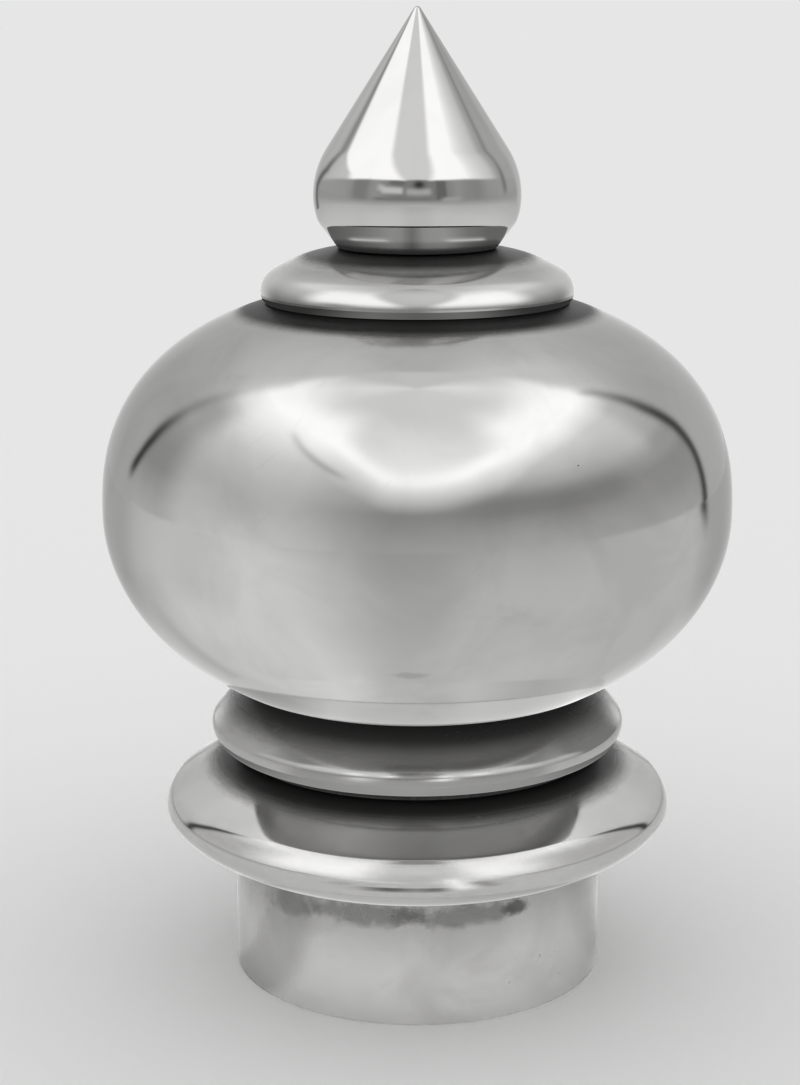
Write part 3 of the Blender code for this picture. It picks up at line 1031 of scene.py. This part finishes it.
def bead_floor_tone(turn, reach):
    return paint(
        along(reach, (0.05, 152), (0.2, 144), (1.0, 130)) + 24 * rise_to(np.abs(turn), 58, 76),
        (226, stripe(turn, 12, 7) * rise_to(reach, 0.12, 0.30)),
        (196, stripe(turn, -28, 8) * rise_to(reach, 0.08, 0.20)),
    )


def spike_floor_tone(turn, reach):
    near = along(reach, (0.25, 190), (0.36, 190), (0.60, 182), (0.97, 174))
    return mix(near - 9, near, rise_to(np.abs(turn), 6, 26))


def flange_floor_tone(turn, reach):
    side = np.abs(turn)
    far = along(side, (0, 188), (18, 226), (34, 200), (45, 154), (60, 134), (110, 142))
    return paint(
        180,
        (far, rise_to(reach, 0.2, 0.8)),
        (92, stripe(turn, -9, 9) * patch(reach, 0.060, 0.088, 0.006)),
        (104, stripe(turn, 6, 6) * patch(reach, 0.060, 0.088, 0.006)),
        (160, stripe(turn, -27, 4) * patch(reach, 0.085, 0.20, 0.008)),
        (142, stripe(turn, 24, 4) * patch(reach, 0.075, 0.30, 0.008)),
        (84, stripe(side, 119, 4) * rise_to(reach, 0.3, 0.8)),
        (240, stripe(turn, 15, 5) * rise_to(reach, 0.05, 0.08)),
    )


def collar_floor_tone(turn, reach):
    tone = along(
        reach, (0.040, 164), (0.050, 180), (0.062, 190), (0.075, 186), (0.085, 172), (0.10, 150), (0.3, 156)
    )
    tone = tone - 26 * patch(-turn, 54, 86, 6) - 8 * rise_to(-turn, 84, 96) - 14 * rise_to(turn, 78, 92)
    return tone + 12 * stripe(turn, 118, 10)


def glow_sheet(name, turn, reach, height, tones, receivers, cover=False):
    """Glowing cloth round the axis that shows in the reflections of the receivers alone.

    turn, reach and height are grids with a row for every ring of the cloth. A cover also hides
    what is behind it, but only from its outer side.
    """
    angle = np.radians(turn)
    points = np.stack([reach * np.sin(angle), -reach * np.cos(angle), height], axis=-1).reshape(-1, 3)
    here = np.arange(turn.size).reshape(turn.shape)
    after = np.roll(here, -1, axis=1)
    faces = np.stack([here[:-1], after[:-1], after[1:], here[1:]], axis=-1).reshape(-1, 4)
    material, tree = new_material(name + "_cloth")
    tree.nodes.clear()
    source = add_node(tree, "Attribute", attribute_name="light")
    glow = add_node(tree, "Emission")
    clear = add_node(tree, "BsdfTransparent")
    both = add_node(tree, "MixShader" if cover else "AddShader")
    if cover:
        sides = add_node(tree, "NewGeometry")
        tree.links.new(sides.outputs["Backfacing"], both.inputs[0])
    out = add_node(tree, "OutputMaterial")
    tree.links.new(source.outputs["Fac"], glow.inputs["Strength"])
    tree.links.new(glow.outputs[0], both.inputs[-2])
    tree.links.new(clear.outputs[0], both.inputs[-1])
    tree.links.new(both.outputs[0], out.inputs["Surface"])
    material.cycles.emission_sampling = "NONE"
    sheet = make_object(name, points.tolist(), faces.tolist(), material)
    light = (tone_light(tones) / STEEL_SHARE).astype(np.float32).ravel()
    sheet.data.attributes.new("light", "FLOAT", "POINT").data.foreach_set("value", light)
    for kind in ("camera", "diffuse", "shadow", "transmission", "volume_scatter"):
        setattr(sheet, "visible_" + kind, False)
    lit = bpy.data.collections.new("lit_by_" + name)
    for piece in receivers:
        lit.objects.link(piece)
    sheet.light_linking.receiver_collection = lit


def full_turn(step):
    """Turns from one back to the next, in degrees."""
    return np.arange(-180.0, 180.0, step)


def make_tent(name, layer, tone_of, receivers):
    """Dome of cloth round the finial, lit by tone_of(turn, rise)."""
    radius = TENT_RADIUS + layer * TENT_SPACING
    rises = np.append(-FOOT_RISE, np.arange(-5.5, 90.5, TENT_RISE_STEP))
    turn, rise = np.meshgrid(full_turn(TENT_TURN_STEP), rises)
    reach = radius * np.cos(np.radians(rise))
    height = TENT_CENTRE_HEIGHT + radius * np.sin(np.radians(rise))
    glow_sheet(name, turn, reach, height, tone_of(turn, rise), receivers)


CLOTH_REACHES = (
    0.001, 0.040, 0.050, 0.055, 0.062, 0.070, 0.078, 0.086, 0.095, 0.11, 0.13, 0.16, 0.20, 0.25,
    0.30, 0.35, 0.40, 0.50, 0.60, 0.80, 0.998,
)


def make_floor_cloth(name, layer, tone_of, receivers):
    """Round cloth just under the finial, lit by tone_of(turn, reach)."""
    turn, reach = np.meshgrid(full_turn(FLOOR_TURN_STEP), CLOTH_REACHES)
    height = np.full(turn.shape, -CLOTH_DROP * (1 + layer))
    glow_sheet(name, turn, reach, height, tone_of(turn, reach), receivers)


# A strip is a painted reflection: it gives a neighbour the tone that it has in the piece's reflection.

ball_over_flange_tone = by_turn(
    (-180, 168), (-90, 190), (-57, 200), (-42, 208), (-27, 208), (-11, 188), (3, 180), (18, 187),
    (33, 176), (45, 168), (60, 174), (74, 180), (180, 160),
)
ball_over_bead_tone = by_turn(
    (-180, 160), (-90, 150), (-57, 154), (-42, 166), (-27, 194), (-11, 184), (3, 184), (18, 194),
    (33, 190), (50, 196), (60, 206), (74, 190), (180, 160),
)
bead_over_flange_tone = by_side((0, 150), (40, 142), (60, 120), (90, 92))
saucer_over_ball_tone = by_side((0, 92), (17, 106), (25, 94), (33, 72), (46, 48))
flange_over_collar_tone = by_turn((-60, 160), (-40, 178), (0, 178), (30, 170), (60, 156))


def spike_over_saucer_tone(turn, radius):
    """Painted reflection of the saucer in the foot of the spike: two bright dashes in a narrow ring, and dark
    next to the seat.
    """
    foot = along(
        turn, (-90, 90), (-55, 104), (-45, 115), (-20, 138), (0, 142), (20, 144), (41, 112), (60, 100)
    )
    foot = mix(foot, 108, stripe(turn, -4, 6))
    foot = mix(foot - 26, foot, rise_to(radius, 18.4 * MM, 19.4 * MM))
    foot = mix(36, foot, rise_to(radius, 17.0 * MM, 18.0 * MM))
    dash = patch(np.abs(turn), 22, 58, 5) * patch(radius, 18.9 * MM, 19.6 * MM, 0.25 * MM)
    return mix(foot, 186, dash)


def make_strip(name, layer, profile, tone_of, receivers):
    """Narrow glowing cloth just off a piece's outer side, for the piece that it is reflected in: a painted
    reflection of the piece under it.

    profile runs from the top outward or down. tone_of(turn, radius) lights it. The strip of
    layer 0 also hides the piece behind it.
    """
    radii, heights = zip(*offset_inward(profile, -STRIP_GAP - STRIP_SPACING * layer)[::-1])
    turn, radius = np.meshgrid(full_turn(STRIP_TURN_STEP), radii)
    height = np.meshgrid(full_turn(STRIP_TURN_STEP), heights)[1]
    glow_sheet(name, turn, radius, height, tone_of(turn, radius), receivers, cover=layer == 0)


def ball_shoulder():
    """The ball's upper side where the saucer's rim looks down on it, from the top outward."""
    return [(radius, ball_top_height(radius)) for radius in steps_between(*SHOULDER_REACH, 16)]


def collar_side():
    """The collar's outer side, from the top down, bare at both ends."""
    top, foot = COLLAR_HEIGHT - COLLAR_BARE_END, COLLAR_BARE_END
    return [(COLLAR_RADIUS, height) for height in steps_between(top, foot, 4)]


# Floor, air and camera

FLOOR_TONE = 230.0
FLOOR_SHADE = 0.85
FLOOR_HALF = 20.0
CAMERA_LENS = 76.31
PICTURE_HEIGHT = 1085
CAMERA_SHIFT = -17.3 / PICTURE_HEIGHT
CAMERA_BACK = 0.4755
CAMERA_HEIGHT = 0.2031
CAMERA_TILT = math.radians(13.12)


def make_floor():
    """Pale floor, which the steel doesn't reflect, since the floor cloths take its place there."""
    material, tree = new_material("pale_floor")
    shader = tree.nodes["Principled BSDF"]
    shader.inputs["Base Color"].default_value = (FLOOR_SHADE, FLOOR_SHADE, FLOOR_SHADE, 1.0)
    shader.inputs["Roughness"].default_value = 1.0
    shader.inputs["Specular IOR Level"].default_value = 0.0
    corners = [(x * FLOOR_HALF, y * FLOOR_HALF, 0.0) for x, y in ((-1, -1), (1, -1), (1, 1), (-1, 1))]
    floor = make_object("studio_floor", corners, [(0, 1, 2, 3)], material)
    floor.visible_glossy = False


def make_air():
    """Even soft light on the floor. The camera sees it as bright as the floor, so no horizon shows."""
    world = bpy.data.worlds.new("studio_air")
    bpy.context.scene.world = world
    world.use_nodes = True
    tree = world.node_tree
    air = tree.nodes["Background"]
    air.inputs["Color"].default_value = (1.0, 1.0, 1.0, 1.0)
    seen = float(tone_light(FLOOR_TONE))
    rays = add_node(tree, "LightPath")
    strength = add_node(tree, "Mix", data_type="FLOAT")
    plug(tree, rays.outputs["Is Camera Ray"], strength.inputs["Factor"])
    plug(tree, seen / FLOOR_SHADE, strength.inputs["A"])
    plug(tree, seen, strength.inputs["B"])
    plug(tree, strength.outputs["Result"], air.inputs["Strength"])
    world.cycles_visibility.glossy = False


def make_camera():
    data = bpy.data.cameras.new("camera")
    data.lens = CAMERA_LENS
    data.shift_x = CAMERA_SHIFT
    data.clip_start = 0.01
    data.clip_end = 100.0
    camera = bpy.data.objects.new("camera", data)
    camera.location = (0.0, -CAMERA_BACK, CAMERA_HEIGHT)
    camera.rotation_euler = (math.pi / 2 - CAMERA_TILT, 0.0, 0.0)
    bpy.context.scene.collection.objects.link(camera)
    bpy.context.scene.camera = camera


# The finial

PIECES = (
    ("collar", collar_outline, "collar_steel"),
    ("base_flange", flange_outline, "flange_steel"),
    ("bead_ring", bead_outline, "bead_steel"),
    ("ball", ball_outline, "ball_steel"),
    ("saucer", saucer_outline, "saucer_steel"),
    ("spike", spike_outline, "spike_steel"),
)

finial = []
for node, outline, slot in PIECES:
    piece = turn_piece("polished_" + node, outline(), make_steel(slot, FINISHES[node]))
    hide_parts(node)
    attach(piece, "root")
    finial.append(piece)
collar, flange, bead, ball, saucer, spike = finial

make_tent("ball_tent", 0, ball_tent_tone, [ball])
make_tent("spike_tent", 1, spike_tent_tone, [spike])
make_tent("saucer_tent", 2, saucer_tent_tone, [saucer])
make_tent("bead_tent", 3, bead_tent_tone, [bead])
make_tent("flange_tent", 4, flange_tent_tone, [flange, collar])
make_floor_cloth("ball_floor", 0, ball_floor_tone, [ball])
make_floor_cloth("spike_floor", 1, spike_floor_tone, [spike])
make_floor_cloth("saucer_floor", 2, saucer_floor_tone, [saucer])
make_floor_cloth("bead_floor", 3, bead_floor_tone, [bead])
make_floor_cloth("flange_floor", 4, flange_floor_tone, [flange])
make_floor_cloth("collar_floor", 5, collar_floor_tone, [collar])
make_strip("ball_over_bead", 0, bead_upper_side(8, 8)[::-1], ball_over_bead_tone, [ball])
make_strip("ball_over_flange", 0, flange_upper_side()[::-1], ball_over_flange_tone, [ball])
make_strip("bead_over_flange", 1, flange_upper_side()[::-1], bead_over_flange_tone, [bead])
make_strip("saucer_over_ball", 0, ball_shoulder(), saucer_over_ball_tone, [saucer])
make_strip("spike_over_saucer", 0, saucer_upper_side()[::-1], spike_over_saucer_tone, [spike])
make_strip("flange_over_collar", 0, collar_side(), flange_over_collar_tone, [flange])
make_floor()
make_air()
make_camera()
bpy.context.scene.view_settings.view_transform = "Standard"
bpy.context.scene.view_settings.gamma = PICTURE_GAMMA
